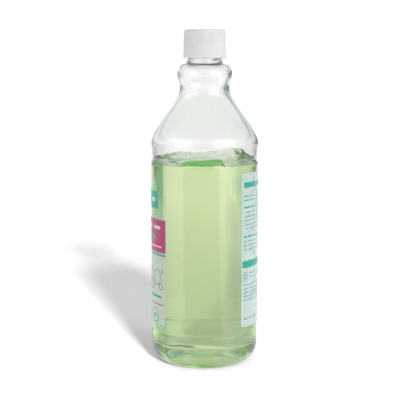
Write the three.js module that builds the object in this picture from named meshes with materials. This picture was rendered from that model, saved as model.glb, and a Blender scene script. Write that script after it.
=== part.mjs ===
// Hand sanitizer gel: a clear blown bottle with its gel, a lined screw cap and two film labels.
// Millimetres, +Z up. The origin is on the standing plane at the bottle's axis.
// The front label faces -Y and the back label +Y.
import * as THREE from "three";

// Facets round the axis
const FACETS = 40;

// Base of the bottle
const PUSH_UP_HEIGHT = 7;
const GATE_DISC_RADIUS = 9.5;
const GATE_DISC_STEP = 0.8;
const DOME_LEAN = 4;
const STAND_RADIUS = 28;
const STAND_WIDTH = 2;
const HEEL_HEIGHT = 14.5;
const BASE_WALL = 1.2;

// Body of the bottle, from the heel up
const PANEL_RADIUS = 41;
const BAND_INSET = 0.1;
const BASE_BAND_HEIGHT = 9;
const LOWER_GROOVE_WIDTH = 5;
const PANEL_HEIGHT = 123.5;
const UPPER_GROOVE_WIDTH = 8;
const GROOVE_DEPTH = 0.8;
const SHOULDER_BAND_HEIGHT = 8;
const BODY_WALL = 0.6;

// Shoulder, waist and the bulb under the neck
const SHOULDER_HEIGHT = 42;
const SHOULDER_ROUNDING = 10.6;
const WAIST_RADIUS = 18.65;
const BULB_RADIUS = 20.7;
const BULB_RISE = 11;
const BULB_ROUNDING = 5;
const BULB_TOP_HEIGHT = 7.6;
const BULB_TOP_RADIUS = 14.6;

// Neck: a collar, then the finish that the cap screws on
const COLLAR_HEIGHT = 2.8;
const COLLAR_STEP = 0.8;
const FINISH_RADIUS = 12.6;
const FINISH_HEIGHT = 19.7;
const FINISH_WALL = 2;
const RIM_ROUNDING = 0.5;

// Screw cap and its sealing disc
const THREAD_ROOM = 1.5;
const CAP_FOOT_WALL = 2;
const CAP_TOP_WALL = 1.4;
const CAP_PANEL = 1.6;
const CAP_CORNER = 1.2;
const CAP_FOOT_ROUNDING = 0.4;
const CAP_FOOT_GAP = 1.5;
const LINER_THICKNESS = 1.2;
const LINER_CHAMFER = 0.2;
const LINER_CLEARANCE = 0.2;
const SEAT_GAP = 0.1;

// Gel: its level under the shoulder band, and the mound left on its top
const GEL_DROP = 6;
const GEL_GAP = 0.1;
const GEL_RINGS = 7;
const MOUND_HEIGHT = 8;
const MOUND_SPREAD = 10;
const MOUND_X = -12;
const MOUND_Y = 15;

// Film labels
const LABEL_WIDTH = 64.4;
const LABEL_HEIGHT = 117;
const LABEL_RISE = 2.6;
const LABEL_FILM = 0.15;
const LABEL_GAP = 0.05;
const LABEL_STEPS = 12;
const FRONT_LABEL_DEG = -90;
const BACK_LABEL_DEG = 87;

// Levels, from the standing plane up
const heelTop = HEEL_HEIGHT;
const baseBandTop = heelTop + BASE_BAND_HEIGHT;
const panelBottom = baseBandTop + LOWER_GROOVE_WIDTH;
const panelTop = panelBottom + PANEL_HEIGHT;
const shoulderBandBottom = panelTop + UPPER_GROOVE_WIDTH;
const shoulderBandTop = shoulderBandBottom + SHOULDER_BAND_HEIGHT;
const waistLevel = shoulderBandTop + SHOULDER_HEIGHT;
const bulbLevel = waistLevel + BULB_RISE;
const bulbTop = bulbLevel + BULB_TOP_HEIGHT;
const collarTop = bulbTop + COLLAR_HEIGHT;
const rimLevel = collarTop + FINISH_HEIGHT;
const linerBottom = rimLevel + SEAT_GAP;
const linerTop = linerBottom + LINER_THICKNESS;
const capCeiling = linerTop + SEAT_GAP;
const capTop = capCeiling + CAP_PANEL;
const capFoot = collarTop + CAP_FOOT_GAP;
const gelLevel = shoulderBandBottom - GEL_DROP;

// Radii that follow from the ones above
const bandRadius = PANEL_RADIUS - BAND_INSET;
const grooveRadius = PANEL_RADIUS - GROOVE_DEPTH;
const collarRadius = FINISH_RADIUS + COLLAR_STEP;
const boreRadius = FINISH_RADIUS - FINISH_WALL;
const capInnerRadius = FINISH_RADIUS + THREAD_ROOM;

const at = (radius, level) => new THREE.Vector2(radius, level);

// An S-shaped stretch of outline that starts and ends upright
function sweep(from, to, rounding, steps) {
  const leave = at(from.x, from.y + rounding);
  const arrive = at(to.x, to.y - rounding);
  return new THREE.CubicBezierCurve(from, leave, arrive, to).getPoints(steps);
}

// A quarter of an ellipse between two angles in degrees
function quarter(centre, acrossRadius, upRadius, startDeg, endDeg, steps) {
  const start = THREE.MathUtils.degToRad(startDeg);
  const end = THREE.MathUtils.degToRad(endDeg);
  const clockwise = end < start;
  const curve = new THREE.EllipseCurve(
    centre.x, centre.y, acrossRadius, upRadius, start, end, clockwise,
  );
  return curve.getPoints(steps);
}

// A shallow rounded groove between two levels, whose edges may differ in radius
function groove(lowRadius, lowLevel, highRadius, highLevel) {
  const middle = at(grooveRadius, (lowLevel + highLevel) / 2);
  const rounding = (highLevel - lowLevel) / 4;
  return [
    ...sweep(at(lowRadius, lowLevel), middle, rounding, 3),
    ...sweep(middle, at(highRadius, highLevel), rounding, 3),
  ];
}

// An outline with no point twice in a row
function tidy(outline) {
  return outline.filter((p, i) => i === 0 || p.distanceTo(outline[i - 1]) > 1e-6);
}

// The blown outside of the bottle, from the axis under the base to the edge of the neck
function blownOutline() {
  const domeTop = PUSH_UP_HEIGHT - GATE_DISC_STEP;
  const dome = new THREE.QuadraticBezierCurve(
    at(GATE_DISC_RADIUS + GATE_DISC_STEP, domeTop),
    at(STAND_RADIUS - DOME_LEAN, domeTop),
    at(STAND_RADIUS, 0),
  );
  const standEdge = STAND_RADIUS + STAND_WIDTH;
  const bulbTopCentre = at(BULB_TOP_RADIUS, bulbLevel);
  const bulbWidth = BULB_RADIUS - BULB_TOP_RADIUS;
  return tidy([
    at(0, PUSH_UP_HEIGHT),
    at(GATE_DISC_RADIUS, PUSH_UP_HEIGHT),
    ...dome.getPoints(4),
    ...quarter(at(standEdge, heelTop), bandRadius - standEdge, HEEL_HEIGHT, -90, 0, 6),
    ...groove(bandRadius, baseBandTop, PANEL_RADIUS, panelBottom),
    ...groove(PANEL_RADIUS, panelTop, bandRadius, shoulderBandBottom),
    ...sweep(at(bandRadius, shoulderBandTop), at(WAIST_RADIUS, waistLevel), SHOULDER_ROUNDING, 9),
    ...sweep(at(WAIST_RADIUS, waistLevel), at(BULB_RADIUS, bulbLevel), BULB_ROUNDING, 5),
    ...quarter(bulbTopCentre, bulbWidth, BULB_TOP_HEIGHT, 0, 90, 5),
  ]);
}

// Wall at a height: thickest under the base, where the plastic is least stretched
function wallAt(level) {
  const heelShare = THREE.MathUtils.clamp(1 - level / HEEL_HEIGHT, 0, 1);
  return THREE.MathUtils.lerp(BODY_WALL, BASE_WALL, heelShare);
}

// The outline moved inwards by the wall there and a clearance
function insideOutline(outline, clearance) {
  const last = outline.length - 1;
  return outline.map((point, i) => {
    const before = outline[Math.max(i - 1, 0)];
    const after = outline[Math.min(i + 1, last)];
    const along = after.clone().sub(before).normalize();
    const depth = wallAt(point.y) + clearance;
    const across = i === 0 ? 0 : point.x - along.y * depth;
    return at(across, point.y + along.x * depth);
  });
}

// The part of an outline below a level, ending on it
function upTo(outline, level) {
  const over = outline.findIndex((point) => point.y > level);
  const low = outline[over - 1];
  const high = outline[over];
  const share = (level - low.y) / (high.y - low.y);
  return [...outline.slice(0, over), low.clone().lerp(high, share)];
}

// A turned solid about +Z from an outline that starts and ends on the axis
function turned(outline) {
  return new THREE.LatheGeometry(tidy(outline), FACETS).rotateX(Math.PI / 2);
}

function named(name, geometry, material) {
  const mesh = new THREE.Mesh(geometry, material);
  mesh.name = name;
  return mesh;
}

// Clear bottle: blown body and moulded neck in one hollow wall, open at the mouth
function makeBottle() {
  const outside = blownOutline();
  const inside = insideOutline(outside, 0).reverse();
  const neck = [
    at(collarRadius, bulbTop),
    at(collarRadius, collarTop),
    at(FINISH_RADIUS, collarTop),
    at(FINISH_RADIUS, rimLevel - RIM_ROUNDING),
    at(FINISH_RADIUS - RIM_ROUNDING, rimLevel),
    at(boreRadius, rimLevel),
    at(boreRadius, bulbTop),
  ];
  const plastic = new THREE.MeshStandardMaterial({
    color: 0xeef2ec, roughness: 0.08, metalness: 0, transparent: true, opacity: 0.3,
  });
  return named("bottle", turned([...outside, ...neck, ...inside]), plastic);
}

// Height that the mound adds to the gel's top, fading out at the wall
function moundAt(x, y, wallRadius) {
  const distance = Math.hypot(x - MOUND_X, y - MOUND_Y);
  const fade = 1 - (Math.hypot(x, y) / wallRadius) ** 4;
  return MOUND_HEIGHT * fade * Math.exp(-0.5 * (distance / MOUND_SPREAD) ** 2);
}

// Gel: fills the bottle to its level, with a soft mound towards the back
function makeGel() {
  const side = upTo(insideOutline(blownOutline(), GEL_GAP), gelLevel);
  const wallRadius = side.at(-1).x;
  const top = [];
  for (let ring = GEL_RINGS - 1; ring >= 0; ring -= 1) {
    top.push(at(wallRadius * ring / GEL_RINGS, gelLevel));
  }
  const geometry = turned([...side, ...top]);
  const points = geometry.attributes.position;
  for (let i = 0; i < points.count; i += 1) {
    const x = points.getX(i);
    const y = points.getY(i);
    const onTop = points.getZ(i) > gelLevel - 1e-3;
    if (onTop && Math.hypot(x, y) < wallRadius - 1e-3) {
      points.setZ(i, gelLevel + moundAt(x, y, wallRadius));
    }
  }
  const gel = new THREE.MeshStandardMaterial({
    color: 0xc4d89a, roughness: 0.1, metalness: 0, transparent: true, opacity: 0.8,
  });
  return named("gel", geometry, gel);
}

// White screw cap: a skirt with a little draft under a flat top, hollow below
function makeCap() {
  const footRadius = capInnerRadius + CAP_FOOT_WALL;
  const topRadius = capInnerRadius + CAP_TOP_WALL;
  const cornerCentre = at(topRadius - CAP_CORNER, capTop - CAP_CORNER);
  const outline = [
    at(0, capCeiling),
    at(capInnerRadius, capCeiling),
    at(capInnerRadius, capFoot),
    at(footRadius - CAP_FOOT_ROUNDING, capFoot),
    at(footRadius, capFoot + CAP_FOOT_ROUNDING),
    ...quarter(cornerCentre, CAP_CORNER, CAP_CORNER, 0, 90, 3),
    at(0, capTop),
  ];
  const plastic = new THREE.MeshStandardMaterial({ color: 0xf2f2f4, roughness: 0.4, metalness: 0 });
  return named("cap", turned(outline), plastic);
}

// Foam sealing disc between the cap's top and the bottle's rim
function makeLiner() {
  const radius = capInnerRadius - LINER_CLEARANCE;
  const outline = [
    at(0, linerBottom),
    at(radius - LINER_CHAMFER, linerBottom),
    at(radius, linerBottom + LINER_CHAMFER),
    at(radius, linerTop - LINER_CHAMFER),
    at(radius - LINER_CHAMFER, linerTop),
    at(0, linerTop),
  ];
  const foam = new THREE.MeshStandardMaterial({ color: 0xe9e9e4, roughness: 0.9, metalness: 0 });
  return named("cap_liner", turned(outline), foam);
}

// A film label wrapped on the panel, with its middle towards an angle in degrees from +X
function makeLabel(name, facingDeg, color) {
  const angle = LABEL_WIDTH / PANEL_RADIUS;
  const inner = (PANEL_RADIUS + LABEL_GAP) / Math.cos(angle / LABEL_STEPS / 2);
  const sheet = new THREE.Shape();
  sheet.absarc(0, 0, inner + LABEL_FILM, -angle / 2, angle / 2, false);
  sheet.absarc(0, 0, inner, angle / 2, -angle / 2, true);
  const geometry = new THREE.ExtrudeGeometry(sheet, {
    depth: LABEL_HEIGHT, bevelEnabled: false, curveSegments: LABEL_STEPS / 2,
  });
  const film = new THREE.MeshStandardMaterial({ color, roughness: 0.3, metalness: 0 });
  const label = named(name, geometry, film);
  label.position.z = panelBottom + LABEL_RISE;
  label.rotation.z = THREE.MathUtils.degToRad(facingDeg);
  return label;
}

const pack = new THREE.Group();
pack.add(
  makeBottle(),
  makeGel(),
  makeCap(),
  makeLiner(),
  makeLabel("front_label", FRONT_LABEL_DEG, 0xc1d0be),
  makeLabel("back_label", BACK_LABEL_DEG, 0xd2dfda),
);

export default pack;
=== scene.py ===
"""Hand sanitizer gel: the looks of the pack around its fixed frame.

Blender units are metres, +Z is up and the bottle's axis is Z. Profile sizes are in millimetres, as (radius, height).
"""

import math
import random

import bpy
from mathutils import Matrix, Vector, noise


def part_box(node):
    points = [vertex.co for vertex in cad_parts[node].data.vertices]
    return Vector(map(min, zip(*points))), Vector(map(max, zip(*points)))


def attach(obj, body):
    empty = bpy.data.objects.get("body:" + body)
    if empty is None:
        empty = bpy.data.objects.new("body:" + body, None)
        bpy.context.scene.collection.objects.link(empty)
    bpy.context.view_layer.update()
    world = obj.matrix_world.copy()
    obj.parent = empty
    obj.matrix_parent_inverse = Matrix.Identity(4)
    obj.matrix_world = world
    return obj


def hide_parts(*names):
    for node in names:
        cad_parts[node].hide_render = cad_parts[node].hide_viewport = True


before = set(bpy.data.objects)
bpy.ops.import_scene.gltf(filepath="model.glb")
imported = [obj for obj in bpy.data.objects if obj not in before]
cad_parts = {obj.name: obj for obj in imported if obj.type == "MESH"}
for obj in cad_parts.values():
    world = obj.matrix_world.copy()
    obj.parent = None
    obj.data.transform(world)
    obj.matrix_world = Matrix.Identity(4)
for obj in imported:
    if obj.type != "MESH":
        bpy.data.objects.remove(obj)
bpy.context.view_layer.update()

MM = 0.001


def node_box(node):
    """A CAD node's lowest and highest corner in millimetres."""
    low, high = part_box(node)
    return Vector(low) / MM, Vector(high) / MM


# Sizes read from the frame
_, bottle_high = node_box("bottle")
cap_low, cap_high = node_box("cap")
liner_low, liner_high = node_box("cap_liner")
label_low, label_high = node_box("front_label")
PANEL_RADIUS = bottle_high.x
RIM_LEVEL = bottle_high.z
CAP_FOOT_RADIUS = cap_high.x
CAP_FOOT = cap_low.z
CAP_TOP = cap_high.z
LINER_RADIUS = liner_high.x
LABEL_BOTTOM = label_low.z
LABEL_TOP = label_high.z

# Base and body of the bottle
PUSH_UP_HEIGHT = 7.0
GATE_DISC_RADIUS = 9.5
GATE_DISC_STEP = 0.8
GATE_ROUNDING = 0.4
DOME_LEAN = 4.0
STAND_RADIUS = 28.0
STAND_WIDTH = 2.0
HEEL_HEIGHT = 14.5
BAND_RADIUS = PANEL_RADIUS - 0.1
BASE_GROOVE = 0.45
SHOULDER_GROOVE = 0.3
BASE_BAND_TOP = 23.5
PANEL_BOTTOM = 28.5
PANEL_TOP = 152.0
SHOULDER_BAND_BOTTOM = 160.0
SHOULDER_BAND_TOP = 168.0
BODY_WALL = 0.6
BASE_WALL = 1.2
WAIST_WALL = 0.75
BULB_TOP_WALL = 0.95
WAIST_TAPER = 8.0
WALL_WAVE = 0.16
WALL_WAVE_SIZE = 13.0
WALL_WAVE_FADE = 14.0
HEEL_WAVE = 0.3
HEEL_LUMP = 0.45
HEEL_WAVE_SIZE = 11.0
HEEL_WAVE_LAYER = 0.0
HEEL_LUMP_LAYER = 7.0
HEEL_FADE_IN = (1.0, 5.0)
HEEL_FADE_OUT = (40.0, 26.0)
HEEL_TWIST = 0.04

# Shoulder, waist, bulb and neck
SHOULDER_ROUNDING = 10.6
WAIST_RADIUS = 18.65
WAIST_LEVEL = 210.0
BULB_RADIUS = 20.7
BULB_LEVEL = 221.0
BULB_ROUNDING = 5.0
BULB_TOP = 228.6
BULB_TOP_RADIUS = 14.6
COLLAR_RADIUS = 13.4
COLLAR_TOP = 231.4
COLLAR_ROUNDING = 0.3
FINISH_RADIUS = 12.6
FINISH_STEP = 0.3
BORE_RADIUS = 10.6
NECK_FILLET = 1.2
NECK_FLARE = 4.4
FLARE_PULL = 0.3
FLARE_ROUNDING = 1.0
RIM_ROUNDING = 0.5
MOUTH_DEPTH = 1.5

# Screw thread, right-handed, on the neck and in the cap
THREAD_PITCH = 4.2333
THREAD_TURNS = 1.5
THREAD_HEIGHT = 1.1
THREAD_ROOT = 1.3
THREAD_CREST = 0.6
THREAD_FADE = 0.08
NECK_THREAD_START = 239.5
CAP_THREAD_START = NECK_THREAD_START - THREAD_PITCH / 2

# Cap and liner
CAP_INNER_RADIUS = 14.1
CAP_TOP_RADIUS = 15.5
CAP_CEILING = 252.5
CAP_CORNER = 1.2
CAP_FOOT_ROUNDING = 0.4
CAP_INNER_FOOT = 0.3
CAP_INNER_CORNER = 0.5
CAP_THREAD_ROOM = (0.8, 0.6)
RIBS = 72
RIB_STEPS = 5
RIB_DEPTH = 0.16
RIB_FOOT = (1.2, 2.2)
RIB_TOP = (1.8, 2.8)
LINER_EDGE = 0.2
LINER_DENT = (0.9, 0.05)

# Gel
GEL_LEVEL = 153.8
GEL_OVERLAP = 0.2
GEL_FOOT = 4.0
MENISCUS_HEIGHT = 0.4
MENISCUS_WAVE = 0.2
MENISCUS_WAVES = 2.2
MENISCUS_LAYER = 5.1
MENISCUS_SLOPE = 0.66
WEDGE_HEIGHT = 5.8
WEDGE_DEG = -2.6
WEDGE_HALF_DEG = 23.5
WEDGE_LEFT = -2.0
WEDGE_RIGHT = 0.4
WEDGE_REACH = 16.0
WEDGE_SHARPNESS = 12
LOBE_WAVE = 0.3
LOBE_WAVE_SIZE = 5.0
LOBE_LAYER = 2.7
RIPPLE_HEIGHT = 1.0
RIPPLE_SIZE = 11.0
RIPPLE_LAYER = 0.3
RIPPLE_REACH = 8.0
GEL_CLIMB_ROWS = 18
GEL_RINGS = 64
GEL_RING_SPREAD = 1.6

# Lobes of gel left on the wall: direction from +X in degrees, half-width, climb and thickness
GEL_LOBES = (
    (108.0, 22.0, 2.4, 16.0),
    (138.0, 17.0, 6.5, 24.0),
    (157.0, 13.0, 4.5, 20.0),
    (174.0, 8.0, 2.5, 12.0),
    (-156.0, 28.0, 4.6, 26.0),
    (-108.0, 26.0, 3.2, 16.0),
    (-72.0, 16.0, 1.8, 8.0),
)

# Bubbles in the gel: place and radius
BUBBLES = (
    (33.0, -19.0, 86.0, 0.5), (38.0, -13.0, 143.0, 0.45), (38.5, 0.5, 73.0, 0.35), (30.0, 14.0, 118.0, 0.4),
    (26.0, -8.0, 55.0, 0.45), (-12.0, 20.0, 96.0, 0.5), (5.0, -24.0, 128.0, 0.4), (-22.0, -6.0, 64.0, 0.45),
)

# Film labels and their print
FRONT_DEG = -90.0
BACK_DEG = 87.0
LABEL_WIDTH = 64.4
LABEL_CORNER = 2.0
FILM_INNER = PANEL_RADIUS + 0.03
FILM_OUTER = PANEL_RADIUS + 0.12
INK = 0.025
INK_SINK = 0.01

# Bars that stand in for words: widths, gap, ragged end of a row and corner as a share of the height
WORD_WIDTHS = (3.0, 8.5)
SHORTEST_WORD = 2.0
WORD_GAP = 1.3
RAGGED_END = 12.0
WORD_CORNER = 0.3
BACK_MARGIN = 2.4

# Steps of the meshes, the least straight half-width that is stepped, and the angles from which edges are sharp
SEGMENTS = 180
BUBBLE_AROUND = 12
BUBBLE_RINGS = 7
CORNER_STEPS = 8
FIELD_STEPS = 24
FIELD_LEAST = 0.5
PRINT_RING_STEPS = 40
SHARP_DEG = 35.0
GEL_SHARP_DEG = 40.0


def linear(red, green, blue):
    """A colour given in screen values of 0 to 255, as scene-linear values with alpha."""
    def decode(value):
        share = value / 255
        return share / 12.92 if share <= 0.04045 else ((share + 0.055) / 1.055) ** 2.4
    return (decode(red), decode(green), decode(blue), 1.0)


# Colours and clearness
TEAL = linear(20, 176, 152)
SOFT_TEAL = linear(112, 186, 178)
DARK = linear(74, 92, 88)
MAGENTA = linear(192, 44, 112)
WHITE = linear(240, 242, 240)
PALE = linear(238, 252, 232)
CAP_WHITES = (linear(238, 238, 241), linear(243, 243, 245))
FOAM_WHITES = (linear(226, 226, 221), linear(242, 242, 238))
FRONT_FILMS = (linear(226, 236, 226), linear(232, 240, 232))
BACK_FILMS = (linear(207, 231, 222), linear(212, 235, 227))
PAPER_WHITES = (linear(247, 247, 247), linear(249, 249, 249))
INK_SHADE = 0.94
PALE_ALPHA = 0.75
FRONT_ALPHA = 0.02
BACK_ALPHA = 0.92
PET_WAVE = 0.00005
PET_ABSORPTION = (0.53, 0.57, 0.52, 1.0)
PET_DENSITY = 11.0
GEL_WAVE = 0.00002
GEL_ABSORPTION = (0.536, 0.764, 0.04, 1.0)
GEL_DENSITY = 12.5

# Film and ink are thin enough to let some light through
LET_THROUGH = {"Subsurface_Weight": 0.6, "Subsurface_Scale": 0.0003, "Subsurface_Radius": (1.0, 1.0, 1.0)}

# Floor, in millimetres; then the glow that clear pieces see in place of the floor, by distance in metres and direction
# from straight behind, painted with shade and light
FLOOR_DROP = -0.2
FLOOR_BACK = -2000.0
FLOOR_FRONT = 2500.0
FLOOR_SIDE = 900.0
# Painted shade and light by distance: green under the bottle as painted light passed through the gel, dimmer near it as
# painted shade, paler further out
GLOW_PAINTED_SHADE_BY_REACH = (
    (0.0, (0.11, 0.62, 0.27)), (0.034, (0.13, 0.62, 0.28)), (0.043, (0.50, 0.61, 0.62)), (0.08, (0.50, 0.59, 0.56)),
    (0.12, (0.505, 0.55, 0.495)), (0.20, (0.53, 0.58, 0.51)), (0.47, (0.67, 0.68, 0.60)), (0.95, (0.91, 0.84, 0.82)),
    (1.0, (0.87, 0.855, 0.84)),
)
# Painted shadow and light by direction: darker bands left of straight behind as the painted shadow of the bottle, a
# dark green band to the right as painted shade, a dim middle between lighter bands
GLOW_PAINTED_SHADE_BY_DIRECTION = (
    (-180.0, (0.95, 1.0, 0.85)), (-75.0, (0.95, 1.0, 0.85)), (-60.0, (0.32, 0.44, 0.36)), (-40.0, (0.34, 0.45, 0.38)),
    (-30.0, (0.53, 0.64, 0.60)), (-16.4, (0.575, 0.68, 0.69)), (-15.6, (0.71, 0.74, 0.80)), (-12.9, (0.71, 0.74, 0.80)),
    (-12.4, (0.90, 0.83, 1.0)), (-8.2, (0.90, 0.83, 1.0)), (-7.8, 0.704), (11.2, 0.704), (11.6, (0.935, 0.91, 0.97)),
    (16.0, (0.92, 0.895, 0.95)), (20.0, (0.86, 0.84, 0.89)), (24.5, (0.78, 0.77, 0.82)), (28.0, (0.70, 0.71, 0.74)),
    (31.0, (0.60, 0.64, 0.64)), (32.0, (0.0, 0.33, 0.18)), (60.0, (0.0, 0.33, 0.18)), (75.0, (0.95, 1.0, 0.85)),
    (180.0, (0.95, 1.0, 0.85)),
)
# The sheet glows though it is no lamp; the shares give how much of the floor clear pieces see as this painted glow
PAINTED_GLOW_STRENGTH = 1.325
PAINTED_GLOW_SHARES = ((0.0, 0.95), (0.045, 0.95), (0.07, 0.72), (1.0, 0.72))
PAINTED_GLOW_FOCUS = 0.066

# Studio as gloss and clear pieces see it, by direction from straight behind and by height
AMBIENT = 0.52
STUDIO = 2.0
STUDIO_SIDES = (
    (-180.0, 0.28), (-100.0, 0.28), (-78.0, 0.12), (-30.0, 0.12), (-20.0, 0.27), (-13.0, 0.27), (-8.0, 0.46),
    (4.0, 0.46), (7.5, (0.09, 0.11, 0.11)), (42.0, (0.09, 0.12, 0.11)), (60.0, 0.32), (75.0, 0.32), (130.0, 0.28),
    (180.0, 0.28),
)
STUDIO_FLAGS = ((-1.0, 0.0), (0.06, 0.0), (0.14, 1.0), (1.0, 1.0))
STUDIO_ABOVE = (
    (-1.0, 0.475), (0.15, 0.42), (0.24, 0.42), (0.28, (0.10, 0.20, 0.18)), (0.36, (0.10, 0.20, 0.18)), (0.40, 0.42),
    (0.45, 0.42), (0.6, 0.34), (1.0, 0.34),
)
WINDOW_SIDES = (
    (-180.0, 0.0), (-152.0, 0.0), (-146.0, 0.3), (-90.0, 0.3), (-76.0, 0.0), (104.0, 0.0), (112.0, 0.5),
    (158.0, 0.5), (164.0, 0.0), (180.0, 0.0),
)
WINDOW_HEIGHTS = ((-1.0, 0.0), (-0.5, 0.0), (-0.4, 1.0), (0.6, 1.0), (0.68, 0.0), (1.0, 0.0))

# Lamps, in watts, metres and degrees; of the floor's own suns the first is blocked by every piece, the second by the
# gel and the dense pieces, and the third by the dense pieces alone
KEY_AZIMUTH = 55.0
KEY_ELEVATION = 30.0
KEY_POWER = 8.6
KEY_SIZE = (0.5, 0.6)
FLOOR_KEY_AZIMUTH = 16.0
FLOOR_KEY_ELEVATION = 25.0
FLOOR_KEYS = (2.5, 1.5, 0.55)
FLOOR_KEY_SPREAD = 7.0
LAMP_DISTANCE = 2.0
LAMP_AIM = 0.12

# Camera, which takes the image as a square
IMAGE_SIDE = 400
FOCAL_PIXELS = 1073.65
SENSOR_WIDTH = 36.0
CAMERA_PLACE = (0.820, -0.0035, 0.236)
CAMERA_PITCH = 7.751


# Profiles

def lerp(low, high, share):
    return low + (high - low) * share


def bezier(points, steps):
    """Points along a cubic curve, both ends included."""
    a, b, c, d = points
    curve = []
    for i in range(steps + 1):
        t = i / steps
        s = 1 - t
        weights = (s ** 3, 3 * s * s * t, 3 * s * t * t, t ** 3)
        curve.append(tuple(sum(w * p[k] for w, p in zip(weights, (a, b, c, d))) for k in (0, 1)))
    return curve


def sweep(start, end, rounding, steps):
    """An S-shaped stretch that starts and ends upright."""
    return bezier((start, (start[0], start[1] + rounding), (end[0], end[1] - rounding), end), steps)


def arc(centre, across, up, start_deg, end_deg, steps):
    """Points along a part of an ellipse."""
    curve = []
    for i in range(steps + 1):
        angle = math.radians(lerp(start_deg, end_deg, i / steps))
        curve.append((centre[0] + across * math.cos(angle), centre[1] + up * math.sin(angle)))
    return curve


def straight(start, end, steps):
    return [(lerp(start[0], end[0], i / steps), lerp(start[1], end[1], i / steps)) for i in range(steps + 1)]


def without_repeats(profile):
    kept = [profile[0]]
    for point in profile[1:]:
        if math.dist(point, kept[-1]) > 1e-5:
            kept.append(point)
    return kept


def groove(low_radius, low, high_radius, high, depth):
    """A shallow rounded groove between two levels."""
    middle = (PANEL_RADIUS - depth, (low + high) / 2)
    rounding = (high - low) / 4
    below = sweep((low_radius, low), middle, rounding, 8)
    return below + sweep(middle, (high_radius, high), rounding, 8)


def blown_outside():
    """The blown outside, from the axis under the base to the flat top of the bulb."""
    dome_top = PUSH_UP_HEIGHT - GATE_DISC_STEP
    dome_start = (GATE_DISC_RADIUS + GATE_DISC_STEP, dome_top)
    dome_pull = (STAND_RADIUS - DOME_LEAN, dome_top)
    dome_end = (STAND_RADIUS, 0.0)
    dome = [
        tuple((1 - t) ** 2 * a + 2 * t * (1 - t) * b + t * t * c for a, b, c in zip(dome_start, dome_pull, dome_end))
        for t in (i / 16 for i in range(17))
    ]
    stand_edge = STAND_RADIUS + STAND_WIDTH
    disc_edge = (GATE_DISC_RADIUS - GATE_ROUNDING, PUSH_UP_HEIGHT)
    dome_edge = (dome_start[0] + GATE_ROUNDING, dome_top)
    pull = GATE_ROUNDING / 2
    step = bezier((
        disc_edge, (GATE_DISC_RADIUS + pull, PUSH_UP_HEIGHT), (dome_start[0] - pull, dome_top), dome_edge,
    ), 8)
    return without_repeats([
        *straight((0.0, PUSH_UP_HEIGHT), disc_edge, 4),
        *step,
        *[point for point in dome if point[0] > dome_edge[0]],
        *arc((stand_edge, HEEL_HEIGHT), BAND_RADIUS - stand_edge, HEEL_HEIGHT, -90, 0, 20),
        *groove(BAND_RADIUS, BASE_BAND_TOP, PANEL_RADIUS, PANEL_BOTTOM, BASE_GROOVE),
        *straight((PANEL_RADIUS, PANEL_BOTTOM), (PANEL_RADIUS, PANEL_TOP), 8),
        *groove(PANEL_RADIUS, PANEL_TOP, BAND_RADIUS, SHOULDER_BAND_BOTTOM, SHOULDER_GROOVE),
        *straight((BAND_RADIUS, SHOULDER_BAND_BOTTOM), (BAND_RADIUS, SHOULDER_BAND_TOP), 6),
        *sweep((BAND_RADIUS, SHOULDER_BAND_TOP), (WAIST_RADIUS, WAIST_LEVEL), SHOULDER_ROUNDING, 36),
        *sweep((WAIST_RADIUS, WAIST_LEVEL), (BULB_RADIUS, BULB_LEVEL), BULB_ROUNDING, 16),
        *arc((BULB_TOP_RADIUS, BULB_LEVEL), BULB_RADIUS - BULB_TOP_RADIUS, BULB_TOP - BULB_LEVEL, 0, 90, 14),
    ])


def share_between(value, low, high):
    """Where a value stands between two others, from 0 to 1."""
    return min(max((value - low) / (high - low), 0.0), 1.0)


def wall_at(level):
    """Wall thickness, largest at the base and under the neck, where the plastic is least stretched."""
    if level < HEEL_HEIGHT:
        return lerp(BASE_WALL, BODY_WALL, share_between(level, 0.0, HEEL_HEIGHT))
    waist = lerp(BODY_WALL, WAIST_WALL, share_between(level, SHOULDER_BAND_TOP + WAIST_TAPER, WAIST_LEVEL))
    return lerp(waist, BULB_TOP_WALL, share_between(level, BULB_LEVEL, BULB_TOP))


def heel_swirl(angle, level, layer):
    """Slanting waves that fade out above the base, from -1 for the deepest to 0."""
    fade = share_between(level, *HEEL_FADE_IN) * share_between(level, *HEEL_FADE_OUT)
    turned = angle + HEEL_TWIST * level
    across = PANEL_RADIUS / HEEL_WAVE_SIZE
    place = (across * math.cos(turned), across * math.sin(turned), level / HEEL_WAVE_SIZE + layer)
    return -fade * (0.5 + 0.5 * noise.noise(place))


def heel_wave(angle, level):
    """The shallow waves of the outside near the base."""
    return HEEL_WAVE * heel_swirl(angle, level, HEEL_WAVE_LAYER)


def wall_wave(angle, level):
    """The uneven inside of a blown wall, thickest in lumps near the base and wavy from the shoulder to the neck."""
    fade = share_between(level, SHOULDER_BAND_TOP, SHOULDER_BAND_TOP + WALL_WAVE_FADE)
    across = WAIST_RADIUS / WALL_WAVE_SIZE
    place = (across * math.cos(angle), across * math.sin(angle), level / WALL_WAVE_SIZE)
    return WALL_WAVE * fade * noise.noise(place) + HEEL_LUMP * heel_swirl(angle, level, HEEL_LUMP_LAYER)


def moved_inwards(profile, extra):
    """The profile moved inwards by the wall there and an extra depth."""
    last = len(profile) - 1
    inside = []
    for i, (radius, level) in enumerate(profile):
        before = profile[max(i - 1, 0)]
        after = profile[min(i + 1, last)]
        length = math.dist(before, after)
        across = (after[0] - before[0]) / length
        up = (after[1] - before[1]) / length
        depth = wall_at(level) + extra
        moved = 0.0 if i == 0 else radius - up * depth
        inside.append((moved, level + across * depth))
    return inside


OUTSIDE = blown_outside()
INSIDE = moved_inwards(OUTSIDE, 0.0)


def radius_at(profile, level):
    """Radius of an upright stretch of a profile at a level above the heel."""
    for (r0, z0), (r1, z1) in zip(profile, profile[1:]):
        if r0 > STAND_RADIUS and z0 <= level <= z1:
            return lerp(r0, r1, (level - z0) / (z1 - z0))
    raise ValueError(f"no wall at {level}")


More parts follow.
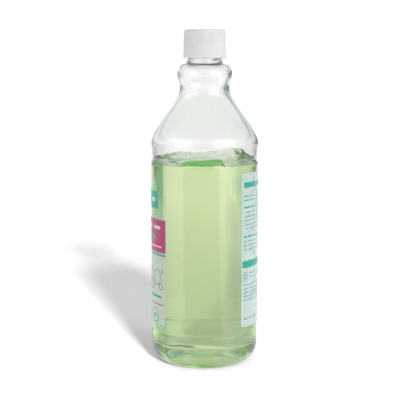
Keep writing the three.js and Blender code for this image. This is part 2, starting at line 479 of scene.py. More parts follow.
def thread_relief(angle, level, start):
    """Height of the thread ridge at an angle in radians and a level."""
    height = 0.0
    for turn in range(math.ceil(THREAD_TURNS) + 1):
        along = turn + angle / math.tau
        if along > THREAD_TURNS:
            continue
        off = abs(level - start - THREAD_PITCH * along)
        rise = share_between(off, THREAD_ROOT, THREAD_CREST)
        ends = min(along / THREAD_FADE, (THREAD_TURNS - along) / THREAD_FADE, 1.0)
        height = max(height, THREAD_HEIGHT * rise * max(ends, 0.0))
    return height


# Meshes

def new_object(name, vertices, faces, sharp_deg=SHARP_DEG):
    """A smooth-shaded object from points in millimetres."""
    mesh = bpy.data.meshes.new(name)
    mesh.from_pydata([(x * MM, y * MM, z * MM) for x, y, z in vertices], [], faces)
    mesh.polygons.foreach_set("use_smooth", [True] * len(mesh.polygons))
    mesh.set_sharp_from_angle(angle=math.radians(sharp_deg))
    mesh.update()
    obj = bpy.data.objects.new(name, mesh)
    bpy.context.scene.collection.objects.link(obj)
    return obj


def turned_surface(rows):
    """Vertices and faces of rows of points round the axis; a row of one point closes the surface on the axis."""
    vertices = []
    faces = []
    starts = []
    count = max(len(row) for row in rows)
    for row in rows:
        starts.append(len(vertices))
        vertices.extend(row)
    for k in range(len(rows) - 1):
        low, high = starts[k], starts[k + 1]
        for i in range(count):
            j = (i + 1) % count
            if len(rows[k]) == 1:
                faces.append((low, high + j, high + i))
            elif len(rows[k + 1]) == 1:
                faces.append((low + i, low + j, high))
            else:
                faces.append((low + i, low + j, high + j, high + i))
    return vertices, faces


def ring_of(radius, level, relief=None, count=SEGMENTS):
    """One row of points at a radius and level; relief adds to the radius at each angle."""
    if radius < 1e-6:
        return [(0.0, 0.0, level)]
    row = []
    for i in range(count):
        angle = math.tau * i / count
        r = radius + (relief(angle, level) if relief else 0.0)
        row.append((r * math.cos(angle), r * math.sin(angle), level))
    return row


def rings_of(profile, relief=None, count=SEGMENTS):
    """Rows of points for all the points of a profile."""
    return [ring_of(radius, level, relief, count) for radius, level in profile]


def make_bottle():
    """The clear bottle: blown body, collar, threaded finish, rim and bore in one closed wall."""
    def thread(angle, level):
        return thread_relief(angle, level, NECK_THREAD_START)

    collar_edge = COLLAR_TOP - COLLAR_ROUNDING
    finish_top = RIM_LEVEL - RIM_ROUNDING
    flare_top = BULB_TOP + NECK_FLARE
    ceiling_radius, ceiling = INSIDE[-1]
    fillet = arc((COLLAR_RADIUS + NECK_FILLET, BULB_TOP + NECK_FILLET), NECK_FILLET, NECK_FILLET, 270, 180, 5)
    collar = straight((COLLAR_RADIUS, BULB_TOP + NECK_FILLET), (COLLAR_RADIUS, collar_edge), 3)
    collar_round = arc((COLLAR_RADIUS - COLLAR_ROUNDING, collar_edge), COLLAR_ROUNDING, COLLAR_ROUNDING, 15, 90, 4)
    finish = straight((FINISH_RADIUS, COLLAR_TOP + FINISH_STEP), (FINISH_RADIUS, finish_top), 64)
    rim = arc((FINISH_RADIUS - RIM_ROUNDING, finish_top), RIM_ROUNDING, RIM_ROUNDING, 0, 90, 5)
    mouth = arc((BORE_RADIUS + RIM_ROUNDING, finish_top), RIM_ROUNDING, RIM_ROUNDING, 90, 180, 5)
    bore = straight((BORE_RADIUS, RIM_LEVEL - MOUTH_DEPTH), (BORE_RADIUS, flare_top + FLARE_PULL), 8)
    flare = bezier((
        (BORE_RADIUS, flare_top), (BORE_RADIUS, ceiling + FLARE_PULL),
        (BORE_RADIUS + FLARE_ROUNDING, ceiling), (ceiling_radius - FLARE_ROUNDING, ceiling),
    ), 8)
    rows = [ring_of(r, z, heel_wave if r > STAND_RADIUS else None) for r, z in OUTSIDE]
    rows += rings_of([*fillet, *collar, *collar_round, (FINISH_RADIUS, COLLAR_TOP)])
    rows += rings_of(finish, thread)
    rows += rings_of(rim[1:] + mouth + bore + flare)
    for radius, level in reversed(INSIDE):
        wavy = radius > STAND_RADIUS or level > PANEL_TOP
        rows.append(ring_of(radius, level, wall_wave if wavy else None))
    return new_object("bottle_shell", *turned_surface(rows))


def lobe_share(angle, centre_deg, width_deg):
    """How strongly a lobe shows at an angle in radians."""
    off = (math.degrees(angle) - centre_deg + 180) % 360 - 180
    return math.exp(-((off / width_deg) ** 2))


def eased(share):
    """A share from 0 to 1 with soft ends."""
    return share * share * (3 - 2 * share)


def gel_top(x, y, wall):
    """Level of the gel's free surface at a point, where wall is the inside radius."""
    radius = math.hypot(x, y)
    angle = math.atan2(y, x)
    depth = max(wall - radius, 0.0)
    swing = noise.noise((MENISCUS_WAVES * math.cos(angle), MENISCUS_WAVES * math.sin(angle), MENISCUS_LAYER))
    climb = MENISCUS_HEIGHT + MENISCUS_WAVE * swing
    level = GEL_LEVEL
    off = (math.degrees(angle) - WEDGE_DEG) / WEDGE_HALF_DEG
    front = max(1 - off ** WEDGE_SHARPNESS, 0.0)
    if front > 0:
        lean = lerp(WEDGE_LEFT, WEDGE_RIGHT, (off + 1) / 2) * front
        level += lean * (1 - eased(min(depth / WEDGE_REACH, 1.0)))
        climb = lerp(climb, WEDGE_HEIGHT, front)
    level += max(climb - MENISCUS_SLOPE * depth, 0.0)
    rough = 1 + LOBE_WAVE * noise.noise((x / LOBE_WAVE_SIZE, y / LOBE_WAVE_SIZE, LOBE_LAYER))
    for centre, width, climb, thickness in GEL_LOBES:
        level += rough * climb * lobe_share(angle, centre, width) * (1 - eased(min(depth / thickness, 1.0)))
    calm = eased(min(depth / RIPPLE_REACH, 1.0))
    return level + RIPPLE_HEIGHT * calm * noise.noise((x / RIPPLE_SIZE, y / RIPPLE_SIZE, RIPPLE_LAYER))


def bubble_surface(centre, radius, first):
    """A small closed cavity, its faces turned into the gel; first is the index of its first vertex."""
    around, rings = BUBBLE_AROUND, BUBBLE_RINGS
    x, y, z = centre
    vertices = [(x, y, z - radius)]
    for k in range(1, rings):
        polar = math.pi * k / rings
        for i in range(around):
            angle = math.tau * i / around
            across = radius * math.sin(polar)
            vertices.append((x + across * math.cos(angle), y + across * math.sin(angle), z - radius * math.cos(polar)))
    vertices.append((x, y, z + radius))
    faces = []
    top = first + len(vertices) - 1
    for i in range(around):
        j = (i + 1) % around
        faces.append((first, first + 1 + i, first + 1 + j))
        last_row = first + 1 + (rings - 2) * around
        faces.append((last_row + i, top, last_row + j))
        for k in range(rings - 2):
            low = first + 1 + k * around
            high = low + around
            faces.append((low + i, high + i, high + j, low + j))
    return vertices, faces


def make_gel():
    """The gel, pressed a little into the wall, with its uneven top, the lobes on the wall and small bubbles."""
    wall_profile = moved_inwards(OUTSIDE, -GEL_OVERLAP)
    foot_level = GEL_LEVEL - GEL_FOOT
    level_wall = radius_at(wall_profile, GEL_LEVEL)
    below = next(i for i, (r, z) in enumerate(wall_profile) if r > STAND_RADIUS and z > foot_level)
    angles = [math.tau * i / SEGMENTS for i in range(SEGMENTS)]
    contact = [gel_top(level_wall * math.cos(a), level_wall * math.sin(a), level_wall) for a in angles]
    rows = rings_of(wall_profile[:below])
    for k in range(GEL_CLIMB_ROWS + 1):
        levels = [lerp(foot_level, top, k / GEL_CLIMB_ROWS) for top in contact]
        radii = [radius_at(wall_profile, level) for level in levels]
        rows.append([(r * math.cos(a), r * math.sin(a), z) for a, r, z in zip(angles, radii, levels)])
    for k in range(1, GEL_RINGS):
        share = 1 - (k / GEL_RINGS) ** GEL_RING_SPREAD
        points = [(r * share * math.cos(a), r * share * math.sin(a), r) for a, r in zip(angles, radii)]
        rows.append([(x, y, gel_top(x, y, wall)) for x, y, wall in points])
    rows.append([(0.0, 0.0, gel_top(0.0, 0.0, level_wall))])
    vertices, faces = turned_surface(rows)
    for x, y, z, radius in BUBBLES:
        more_vertices, more_faces = bubble_surface((x, y, z), radius, len(vertices))
        vertices += more_vertices
        faces += more_faces
    return new_object("gel_fill", vertices, faces, GEL_SHARP_DEG)


def make_cap():
    """The white cap: a flat top, a finely ribbed skirt with a little draft and the thread inside."""
    def thread(angle, level):
        return -thread_relief(angle, level, CAP_THREAD_START)

    def ribs(angle, level):
        foot_fade = share_between(level, CAP_FOOT + RIB_FOOT[0], CAP_FOOT + RIB_FOOT[1])
        fade = foot_fade * share_between(level, CAP_TOP - RIB_TOP[0], CAP_TOP - RIB_TOP[1])
        return -RIB_DEPTH * fade * (0.5 - 0.5 * math.cos(RIBS * angle))

    around = RIBS * RIB_STEPS
    corner = arc((CAP_TOP_RADIUS - CAP_CORNER, CAP_TOP - CAP_CORNER), CAP_CORNER, CAP_CORNER, 0, 90, 10)
    foot = arc(
        (CAP_FOOT_RADIUS - CAP_FOOT_ROUNDING, CAP_FOOT + CAP_FOOT_ROUNDING),
        CAP_FOOT_ROUNDING, CAP_FOOT_ROUNDING, 270, 360, 6,
    )
    inner_foot = arc(
        (CAP_INNER_RADIUS + CAP_INNER_FOOT, CAP_FOOT + CAP_INNER_FOOT), CAP_INNER_FOOT, CAP_INNER_FOOT, 180, 270, 4,
    )
    ceiling_edge = CAP_INNER_RADIUS - CAP_INNER_CORNER
    inner_corner = arc(
        (ceiling_edge, CAP_CEILING - CAP_INNER_CORNER), CAP_INNER_CORNER, CAP_INNER_CORNER, 90, 0, 4,
    )
    inner_skirt = straight(
        (CAP_INNER_RADIUS, CAP_CEILING - CAP_THREAD_ROOM[0]), (CAP_INNER_RADIUS, CAP_FOOT + CAP_THREAD_ROOM[1]), 56,
    )
    rows = rings_of(straight((0.0, CAP_CEILING), (ceiling_edge, CAP_CEILING), 3) + inner_corner, None, around)
    rows += rings_of(inner_skirt, thread, around)
    rows += rings_of(inner_foot + foot, None, around)
    rows += rings_of(straight(foot[-1], corner[0], 40)[1:-1], ribs, around)
    rows += rings_of(corner + straight(corner[-1], (0.0, CAP_TOP), 4)[1:], None, around)
    return new_object("screw_cap", *turned_surface(rows))


def make_liner():
    """The foam sealing disc, with the ring that the bottle's rim has pressed into it."""
    bottom, top = liner_low.z, liner_high.z
    edge = (top - bottom) / 2
    dent = arc(((FINISH_RADIUS + BORE_RADIUS) / 2, bottom), *LINER_DENT, 180, 0, 8)
    profile = [
        (0.0, bottom), *dent,
        *arc((LINER_RADIUS - LINER_EDGE, bottom + edge), LINER_EDGE, edge, -90, 90, 10), (0.0, top),
    ]
    return new_object("sealing_disc", *turned_surface(rings_of(profile)))


# Labels: places on a label are (across, up) in millimetres, from its middle and from the standing plane

def on_label(facing_deg, across, up, radius):
    angle = math.radians(facing_deg) + across / PANEL_RADIUS
    return (radius * math.cos(angle), radius * math.sin(angle), up)


def corner_cut(across, half_width, corner):
    """How much a rounded corner takes off the height at a distance from the middle."""
    into = abs(across) - (half_width - corner)
    if into <= 0:
        return 0.0
    return corner - math.sqrt(max(corner * corner - into * into, 0.0))


def field(facing_deg, shape, inner, outer, first):
    """A closed thin sheet on the label: a rectangle with rounded corners, as (across, up, width, height, corner)."""
    across, up, width, height, corner = shape
    half = width / 2
    stops = {-half, half}
    if corner > 0:
        for i in range(CORNER_STEPS + 1):
            turn = corner * (1 - math.cos(math.pi / 2 * i / CORNER_STEPS))
            stops |= {-half + turn, half - turn}
    if half > corner + FIELD_LEAST:
        stops |= {lerp(-half + corner, half - corner, i / FIELD_STEPS) for i in range(FIELD_STEPS + 1)}
    stops = sorted(stops)
    columns = [stops[0]] + [b for a, b in zip(stops, stops[1:]) if b - a > 1e-4]
    vertices = []
    for place in columns:
        cut = min(corner_cut(place, half, corner), height / 2 - 1e-3)
        for radius in (inner, outer):
            for level in (up - height / 2 + cut, up + height / 2 - cut):
                vertices.append(on_label(facing_deg, across + place, level, radius))
    faces = []
    for k in range(len(columns) - 1):
        a = first + 4 * k
        b = a + 4
        faces += [
            (a, a + 1, b + 1, b), (a + 2, b + 2, b + 3, a + 3),
            (a, b, b + 2, a + 2), (a + 1, a + 3, b + 3, b + 1),
        ]
    end = first + 4 * (len(columns) - 1)
    faces += [(first, first + 2, first + 3, first + 1), (end, end + 1, end + 3, end + 2)]
    return vertices, faces


def ring(facing_deg, shape, inner, outer, first):
    """A closed thin ring on the label, as (across, up, radius, width)."""
    across, up, radius, width = shape
    around = PRINT_RING_STEPS
    vertices = []
    for i in range(around):
        angle = math.tau * i / around
        for depth in (inner, outer):
            for reach in (radius - width, radius):
                place = (across + reach * math.cos(angle), up + reach * math.sin(angle))
                vertices.append(on_label(facing_deg, *place, depth))
    faces = []
    for i in range(around):
        a = first + 4 * i
        b = first + 4 * ((i + 1) % around)
        faces += [
            (a, b, b + 1, a + 1), (a + 2, a + 3, b + 3, b + 2),
            (a, a + 2, b + 2, b), (a + 1, b + 1, b + 3, a + 3),
        ]
    return vertices, faces


def make_print(name, facing_deg, layer, fields=(), rings=()):
    """One colour of print on a label, as a thin layer over the film."""
    inner = FILM_OUTER + INK * (layer - 1) - INK_SINK
    outer = FILM_OUTER + INK * layer
    vertices, faces = [], []
    for maker, shapes in ((field, fields), (ring, rings)):
        for shape in shapes:
            more_vertices, more_faces = maker(facing_deg, shape, inner, outer, len(vertices))
            vertices += more_vertices
            faces += more_faces
    return new_object(name, vertices, faces)


def make_film(name, facing_deg):
    """A label's film, with rounded corners."""
    middle = (LABEL_TOP + LABEL_BOTTOM) / 2
    shape = (0.0, middle, LABEL_WIDTH, LABEL_TOP - LABEL_BOTTOM, LABEL_CORNER)
    return new_object(name, *field(facing_deg, shape, FILM_INNER, FILM_OUTER, 0))


def word_rows(left, right, top, spacing, count, height, seed):
    """Plain bars in rows that stand in for lines of small print."""
    draw = random.Random(seed)
    bars = []
    for row in range(count):
        place = left
        end = right - draw.uniform(0.0, RAGGED_END)
        while place < end - SHORTEST_WORD:
            width = min(draw.uniform(*WORD_WIDTHS), end - place)
            bars.append((place + width / 2, top - spacing * row, width, height, height * WORD_CORNER))
            place += width + WORD_GAP
    return bars


def make_front_print():
    """Front label: a pale ground, a header, a broad panel, rings like bubbles, a rule and a round mark."""
    ground = make_print("front_ground", FRONT_DEG, 1, fields=[(0.0, 59.2, 63.6, 55.4, 1.6)])
    header = make_print("front_header", FRONT_DEG, 1, fields=[(0.0, 127.0, 44.0, 13.4, 2.0)])
    panel = make_print("front_panel", FRONT_DEG, 1, fields=[(0.0, 100.0, 63.6, 25.0, 0.6)])
    marks = make_print("front_marks", FRONT_DEG, 2, fields=[
        (-6.0, 127.0, 22.0, 3.6, 1.8), (14.0, 127.0, 8.0, 3.6, 1.8),
        (-7.0, 106.4, 34.0, 2.6, 1.0), (20.5, 106.4, 10.0, 2.6, 1.0),
        (0.0, 91.8, 54.0, 0.9, 0.4),
    ])
    rule = make_print("front_rule", FRONT_DEG, 2, fields=[(0.0, 47.4, 60.0, 0.9, 0.3)])
    lines = make_print("front_lines", FRONT_DEG, 2, fields=[
        (9.0, 98.8, 20.0, 2.6, 1.0), (0.0, 85.6, 63.0, 1.5, 0.3),
        (15.0, 53.4, 24.0, 2.0, 1.0), (-16.0, 53.4, 22.0, 2.0, 1.0),
        (-16.0, 38.0, 17.0, 1.4, 0.7), (-13.0, 34.6, 23.0, 1.4, 0.7), (17.0, 38.4, 4.2, 4.2, 2.1),
    ], rings=[(17.0, 38.4, 5.8, 0.9)])
    rings = make_print("front_rings", FRONT_DEG, 2, rings=[
        (20.0, 68.0, 6.0, 0.45), (11.0, 62.0, 4.2, 0.45), (26.0, 61.4, 2.4, 0.45), (-4.0, 68.0, 5.0, 0.45),
        (-15.0, 63.0, 6.4, 0.45), (-24.0, 71.0, 3.4, 0.45), (9.0, 73.5, 2.2, 0.45), (28.0, 73.0, 1.4, 0.45),
    ])
    return ground, header, panel, marks, rule, lines, rings


def make_back_print():
    """Back label: a heading, rows of bars in groups, a solid bar between them and a round mark."""
    left = -LABEL_WIDTH / 2 + BACK_MARGIN
    right = -left
    bold = make_print("back_bold", BACK_DEG, 1, fields=[
        (left + 8.5, 139.2, 17.0, 4.0, 0.8), (left + 25.0, 139.2, 12.5, 4.0, 0.8),
        (0.0, 79.2, LABEL_WIDTH - 2.0, 5.4, 0.6), (left + 2.0, 70.6, 1.8, 1.8, 0.9),
        *word_rows(left, right - 18.0, 122.4, 4.0, 1, 1.3, 2), *word_rows(left, right - 26.0, 100.2, 4.0, 1, 1.3, 4),
    ], rings=[(left + 2.0, 70.6, 2.8, 0.6)])
    small = make_print("back_small", BACK_DEG, 1, fields=[
        *word_rows(left, right, 130.8, 3.1, 2, 0.95, 3), *word_rows(left + 2.0, right, 118.6, 3.1, 5, 0.95, 6),
        *word_rows(left, right, 96.6, 3.1, 3, 0.95, 7), *word_rows(left + 7.0, right, 72.0, 2.9, 2, 0.95, 5),
        *word_rows(left, right, 63.4, 2.9, 5, 0.95, 8), *word_rows(left, right, 37.4, 3.1, 1, 1.2, 9),
    ])
    return bold, small


# Materials

class Shader:
    """A Principled material and the few nodes that give it its detail."""

    def __init__(self, name, **constants):
        self.material = bpy.data.materials.new(name)
        self.material.use_nodes = True
        self.nodes = self.material.node_tree.nodes
        self.links = self.material.node_tree.links
        self.surface = self.nodes["Principled BSDF"]
        self.output = self.nodes["Material Output"]
        for socket, value in constants.items():
            self.surface.inputs[socket.replace("_", " ")].default_value = value

    def noise(self, scale, detail):
        """Noise in the object's own metres."""
        place = self.nodes.new("ShaderNodeTexCoord")
        texture = self.nodes.new("ShaderNodeTexNoise")
        texture.inputs["Scale"].default_value = scale
        texture.inputs["Detail"].default_value = detail
        self.links.new(place.outputs["Object"], texture.inputs["Vector"])
        return texture.outputs["Fac"]

    def bump(self, height, distance):
        bump = self.nodes.new("ShaderNodeBump")
        bump.inputs["Distance"].default_value = distance
        bump.inputs["Strength"].default_value = 1.0
        self.links.new(height, bump.inputs["Height"])
        self.links.new(bump.outputs["Normal"], self.surface.inputs["Normal"])

    def spread(self, value, socket, low, high):
        """Lets a value from 0 to 1 move a socket between two limits."""
        span = self.nodes.new("ShaderNodeMapRange")
        span.inputs["To Min"].default_value = low
        span.inputs["To Max"].default_value = high
        self.links.new(value, span.inputs["Value"])
        self.links.new(span.outputs["Result"], self.surface.inputs[socket])

    def tint(self, value, first, second):
        """Lets a value from 0 to 1 move the colour between two colours."""
        ramp = self.nodes.new("ShaderNodeValToRGB")
        ramp.color_ramp.elements[0].position = 0.3
        ramp.color_ramp.elements[1].position = 0.7
        ramp.color_ramp.elements[0].color = first
        ramp.color_ramp.elements[1].color = second
        self.links.new(value, ramp.inputs["Fac"])
        self.links.new(ramp.outputs["Color"], self.surface.inputs["Base Color"])

    def absorb(self, colour, density):
        """Colours the light that passes through the solid."""
        volume = self.nodes.new("ShaderNodeVolumeAbsorption")
        volume.inputs["Color"].default_value = colour
        volume.inputs["Density"].default_value = density
        self.links.new(volume.outputs["Volume"], self.output.inputs["Volume"])


def clear_plastic():
    """Blown PET: clear and glossy, with the faint waves of a blown wall."""
    shader = Shader(
        "clear_pet", Base_Color=(1.0, 1.0, 1.0, 1.0), IOR=1.57, Transmission_Weight=1.0, Specular_IOR_Level=0.5,
    )
    waves = shader.noise(55.0, 1.0)
    shader.bump(waves, PET_WAVE)
    shader.spread(waves, "Roughness", 0.0, 0.03)
    shader.absorb(PET_ABSORPTION, PET_DENSITY)
    return shader.material


def green_gel():
    """The gel: clear, wet and yellow-green through its depth."""
    shader = Shader(
        "green_gel", Base_Color=(1.0, 1.0, 1.0, 1.0), IOR=1.37, Transmission_Weight=1.0, Specular_IOR_Level=0.25,
    )
    swirl = shader.noise(70.0, 2.0)
    shader.bump(swirl, GEL_WAVE)
    shader.spread(swirl, "Roughness", 0.0, 0.02)
    shader.absorb(GEL_ABSORPTION, GEL_DENSITY)
    return shader.material


def cap_plastic():
    """White polypropylene with a fine satin grain."""
    shader = Shader(
        "cap_plastic", IOR=1.49, Subsurface_Weight=1.0, Subsurface_Scale=0.002, Subsurface_Radius=(1.0, 1.0, 1.0),
    )
    shader.tint(shader.noise(120.0, 3.0), *CAP_WHITES)
    grain = shader.noise(2600.0, 3.0)
    shader.bump(grain, 0.00003)
    shader.spread(grain, "Roughness", 0.32, 0.46)
    return shader.material


def liner_foam():
    """Fine white foam."""
    shader = Shader("liner_foam", IOR=1.45)
    cells = shader.noise(2200.0, 4.0)
    shader.tint(cells, *FOAM_WHITES)
    shader.bump(cells, 0.0001)
    shader.spread(cells, "Roughness", 0.75, 0.95)
    return shader.material


def film(name, first, second, alpha):
    """Label film, with the faint ripple of film laid over its glue."""
    shader = Shader(name, IOR=1.5, Alpha=alpha, **LET_THROUGH)
    ripple = shader.noise(140.0, 2.0)
    shader.tint(ripple, first, second)
    shader.bump(ripple, 0.00002)
    shader.spread(ripple, "Roughness", 0.2, 0.36)
    return shader.material


def ink(name, colour, alpha=1.0):
    """Printed ink, a little uneven in colour and gloss."""
    shader = Shader(name, IOR=1.5, Alpha=alpha, **LET_THROUGH)
    patches = shader.noise(420.0, 3.0)
    darker = tuple(INK_SHADE * value for value in colour[:3]) + (1.0,)
    shader.tint(patches, darker, colour)
    shader.bump(patches, 0.00001)
    shader.spread(patches, "Roughness", 0.28, 0.42)
    return shader.material


# Stage: floor, world, lamps and camera

def azimuth_share(nodes, links, place):
    """The direction round the bottle as 0 to 1, where 0.5 is straight behind it and more is further to +Y."""
    split = nodes.new("ShaderNodeSeparateXYZ")
    turn = nodes.new("ShaderNodeMath")
    turn.operation = "MULTIPLY"
    turn.inputs[1].default_value = -1.0
    angle = nodes.new("ShaderNodeMath")
    angle.operation = "ARCTAN2"
    span = nodes.new("ShaderNodeMapRange")
    span.inputs["From Min"].default_value = -math.pi
    span.inputs["From Max"].default_value = math.pi
    links.new(place, split.inputs["Vector"])
    links.new(split.outputs["X"], turn.inputs[0])
    links.new(split.outputs["Y"], angle.inputs[0])
    links.new(turn.outputs["Value"], angle.inputs[1])
    links.new(angle.outputs["Value"], span.inputs["Value"])
    return span.outputs["Result"], split.outputs["Z"]


def colour_steps(nodes, links, value, low, high, steps):
    """A ramp through colours or greys that are given at places between low and high."""
    ramp = nodes.new("ShaderNodeValToRGB")
    stops = ramp.color_ramp.elements
    while len(stops) < len(steps):
        stops.new(1.0)
    for stop, (place, colour) in zip(stops, steps):
        stop.position = share_between(place, low, high)
        stop.color = (*colour, 1.0) if isinstance(colour, tuple) else (colour, colour, colour, 1.0)
    links.new(value, ramp.inputs["Fac"])
    return ramp.outputs["Color"]


def product(nodes, links, first, second):
    node = nodes.new("ShaderNodeVectorMath")
    node.operation = "MULTIPLY"
    links.new(first, node.inputs[0])
    links.new(second, node.inputs[1])
    return node.outputs["Vector"]


def make_floor():
    """A pale floor that takes the shadow; clear pieces see it as a glowing sheet with painted shade near the bottle,
    painted green light under it and painted shadow bands round it.
    """
    corners = [
        (FLOOR_BACK, -FLOOR_SIDE), (FLOOR_FRONT, -FLOOR_SIDE), (FLOOR_FRONT, FLOOR_SIDE), (FLOOR_BACK, FLOOR_SIDE),
    ]
    floor = new_object("floor", [(x, y, FLOOR_DROP) for x, y in corners], [(0, 1, 2, 3)])
    shader = Shader("floor_paper_and_painted_glow", Roughness=0.95, Specular_IOR_Level=0.1)
    shader.tint(shader.noise(40.0, 2.0), *PAPER_WHITES)
    nodes, links = shader.nodes, shader.links
    place = nodes.new("ShaderNodeTexCoord")
    reach = nodes.new("ShaderNodeVectorMath")
    reach.operation = "LENGTH"
    links.new(place.outputs["Object"], reach.inputs[0])
    shift = nodes.new("ShaderNodeVectorMath")
    shift.operation = "ADD"
    shift.inputs[1].default_value = (PAINTED_GLOW_FOCUS, 0.0, 0.0)
    links.new(place.outputs["Object"], shift.inputs[0])
    azimuth, _ = azimuth_share(nodes, links, shift.outputs["Vector"])
    # Painted shade and light by distance from the bottle and by direction round it
    near = colour_steps(nodes, links, reach.outputs["Value"], 0.0, 1.0, GLOW_PAINTED_SHADE_BY_REACH)
    sides = colour_steps(nodes, links, azimuth, -180.0, 180.0, GLOW_PAINTED_SHADE_BY_DIRECTION)
    # The sheet glows though it is no lamp; its colour is the painted shade and light
    sheet = nodes.new("ShaderNodeEmission")
    sheet.inputs["Strength"].default_value = PAINTED_GLOW_STRENGTH
    links.new(product(nodes, links, near, sides), sheet.inputs["Color"])
    # Clear pieces see mostly the painted glow and the lit floor only in part
    path = nodes.new("ShaderNodeLightPath")
    share = nodes.new("ShaderNodeMath")
    share.operation = "MULTIPLY"
    mix = nodes.new("ShaderNodeMixShader")
    links.new(path.outputs["Is Transmission Ray"], share.inputs[0])
    links.new(colour_steps(nodes, links, reach.outputs["Value"], 0.0, 1.0, PAINTED_GLOW_SHARES), share.inputs[1])
    links.new(share.outputs["Value"], mix.inputs["Fac"])
    links.new(shader.surface.outputs["BSDF"], mix.inputs[1])
    links.new(sheet.outputs["Emission"], mix.inputs[2])
    links.new(mix.outputs["Shader"], shader.output.inputs["Surface"])
    floor.data.materials.append(shader.material)
    return floor


def make_world():
    """Soft light from all round; the camera sees white, and gloss and clear pieces see a studio with dark flags."""
    world = bpy.data.worlds.new("studio")
    bpy.context.scene.world = world
    world.use_nodes = True
    nodes, links = world.node_tree.nodes, world.node_tree.links
    light = nodes["Background"]
    light.inputs["Color"].default_value = (1.0, 1.0, 1.0, 1.0)
    light.inputs["Strength"].default_value = AMBIENT
    studio = nodes.new("ShaderNodeBackground")
    studio.inputs["Strength"].default_value = STUDIO
    white = nodes.new("ShaderNodeBackground")
    white.inputs["Color"].default_value = (1.0, 1.0, 1.0, 1.0)
    place = nodes.new("ShaderNodeTexCoord")
    azimuth, height = azimuth_share(nodes, links, place.outputs["Generated"])
    rise = nodes.new("ShaderNodeMapRange")
    rise.inputs["From Min"].default_value = -1.0
    links.new(height, rise.inputs["Value"])
    sides = colour_steps(nodes, links, azimuth, -180.0, 180.0, STUDIO_SIDES)
    above = colour_steps(nodes, links, rise.outputs["Result"], -1.0, 1.0, STUDIO_ABOVE)
    share = colour_steps(nodes, links, rise.outputs["Result"], -1.0, 1.0, STUDIO_FLAGS)
    blend = nodes.new("ShaderNodeMix")
    blend.data_type = "RGBA"
    links.new(share, blend.inputs["Factor"])
    links.new(sides, blend.inputs[6])
    links.new(above, blend.inputs[7])
    window = product(
        nodes, links,
        colour_steps(nodes, links, azimuth, -180.0, 180.0, WINDOW_SIDES),
        colour_steps(nodes, links, rise.outputs["Result"], -1.0, 1.0, WINDOW_HEIGHTS),
    )
    total = nodes.new("ShaderNodeVectorMath")
    links.new(blend.outputs[2], total.inputs[0])
    links.new(window, total.inputs[1])
    links.new(total.outputs["Vector"], studio.inputs["Color"])
    path = nodes.new("ShaderNodeLightPath")
    either = nodes.new("ShaderNodeMath")
    either.operation = "MAXIMUM"
    clear = nodes.new("ShaderNodeMixShader")
    mix = nodes.new("ShaderNodeMixShader")
    links.new(path.outputs["Is Glossy Ray"], either.inputs[0])
    links.new(path.outputs["Is Transmission Ray"], either.inputs[1])
    links.new(either.outputs["Value"], clear.inputs["Fac"])
    links.new(light.outputs["Background"], clear.inputs[1])
    links.new(studio.outputs["Background"], clear.inputs[2])
    links.new(path.outputs["Is Camera Ray"], mix.inputs["Fac"])
    links.new(clear.outputs["Shader"], mix.inputs[1])
    links.new(white.outputs["Background"], mix.inputs[2])
    links.new(mix.outputs["Shader"], nodes["World Output"].inputs["Surface"])


def lamp(name, kind, azimuth_deg, elevation_deg, energy, **settings):
    """A lamp that shines at the bottle from an azimuth, counted from +X towards +Y, and an elevation."""
    data = bpy.data.lights.new(name, kind)
    data.energy = energy
    for key, value in settings.items():
        setattr(data, key, value)
    azimuth, elevation = math.radians(azimuth_deg), math.radians(elevation_deg)
    away = Vector((
        math.cos(elevation) * math.cos(azimuth), math.cos(elevation) * math.sin(azimuth), math.sin(elevation),
    ))
    obj = bpy.data.objects.new(name, data)
    bpy.context.scene.collection.objects.link(obj)
    obj.location = away * LAMP_DISTANCE + Vector((0.0, 0.0, LAMP_AIM))
    obj.rotation_euler = away.to_track_quat("Z", "Y").to_euler()
    return obj


def group_of(name, pieces):
    group = bpy.data.collections.new(name)
    for piece in pieces:
        group.objects.link(piece)
    return group


def make_lamps(floor, gel, dense):
    """A key for the pieces, and the floor's own suns, of which the gel and the clear plastic let a part through."""
    width, height = KEY_SIZE
    key = lamp("key", "AREA", KEY_AZIMUTH, KEY_ELEVATION, KEY_POWER, shape="RECTANGLE", size=width, size_y=height)
    key.visible_glossy = False
    key.visible_transmission = False
    dense_only = group_of("dense_only", dense)
    key.light_linking.blocker_collection = dense_only
    floor_only = group_of("floor_only", [floor])
    blockers = (None, group_of("gel_and_dense", [gel, *dense]), dense_only)
    for i, (energy, group) in enumerate(zip(FLOOR_KEYS, blockers)):
        sun = lamp(
            f"floor_key_{i}", "SUN", FLOOR_KEY_AZIMUTH, FLOOR_KEY_ELEVATION, energy,
            angle=math.radians(FLOOR_KEY_SPREAD),
        )
        sun.light_linking.receiver_collection = floor_only
        if group:
            sun.light_linking.blocker_collection = group


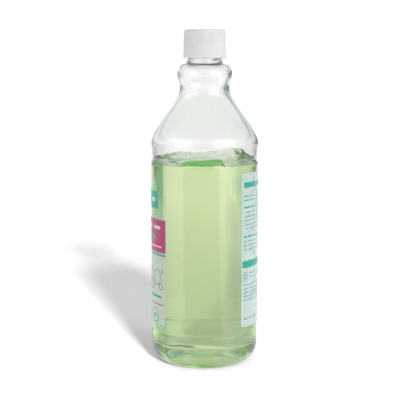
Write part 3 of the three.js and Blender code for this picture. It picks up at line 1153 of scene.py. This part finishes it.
def make_camera():
    """The photograph's view: from +X, a little above the waist and pitched down."""
    data = bpy.data.cameras.new("camera")
    data.sensor_width = SENSOR_WIDTH
    data.lens = SENSOR_WIDTH * FOCAL_PIXELS / IMAGE_SIDE
    data.clip_start = 0.01
    data.clip_end = 50.0
    camera = bpy.data.objects.new("camera", data)
    bpy.context.scene.collection.objects.link(camera)
    camera.location = CAMERA_PLACE
    camera.rotation_euler = (math.radians(90.0 - CAMERA_PITCH), 0.0, math.radians(90.0))
    bpy.context.scene.camera = camera


def set_render():
    scene = bpy.context.scene
    scene.view_settings.view_transform = "Standard"
    scene.cycles.max_bounces = 64
    scene.cycles.transmission_bounces = 64
    scene.cycles.glossy_bounces = 48
    scene.cycles.transparent_max_bounces = 32
    scene.cycles.use_denoising = True
    scene.cycles.sample_clamp_indirect = 4.0


def dress(piece, body, slot, material, *nodes):
    """Gives a piece its material and its body and hides the CAD nodes that it stands for; the slot is not used."""
    piece.data.materials.append(material)
    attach(piece, body)
    if nodes:
        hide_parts(*nodes)
    return piece


def main():
    set_render()
    make_camera()
    make_world()
    floor = make_floor()

    dress(make_bottle(), "bottle", "clear_pet", clear_plastic(), "bottle")
    gel = dress(make_gel(), "bottle", "gel", green_gel(), "gel")
    cap = dress(make_cap(), "cap", "cap_plastic", cap_plastic(), "cap")
    liner = dress(make_liner(), "liner", "liner_foam", liner_foam(), "cap_liner")

    clear_film = film("front_film", *FRONT_FILMS, FRONT_ALPHA)
    pale_film = film("back_film", *BACK_FILMS, BACK_ALPHA)
    front = dress(make_film("front_film", FRONT_DEG), "bottle", "front_film", clear_film, "front_label")
    back = dress(make_film("back_film", BACK_DEG), "bottle", "back_film", pale_film, "back_label")

    teal = ink("teal_ink", TEAL)
    magenta = ink("magenta_ink", MAGENTA)
    white = ink("white_ink", WHITE)
    pale = ink("pale_ink", PALE, PALE_ALPHA)
    dark = ink("dark_ink", DARK)
    soft_teal = ink("soft_teal_ink", SOFT_TEAL)
    for piece, colour in zip(make_front_print(), (pale, teal, magenta, white, magenta, teal, dark)):
        dress(piece, "bottle", "front_film", colour)
    for piece, colour in zip(make_back_print(), (teal, soft_teal)):
        dress(piece, "bottle", "back_film", colour)
    make_lamps(floor, gel, [cap, liner, front, back])


main()
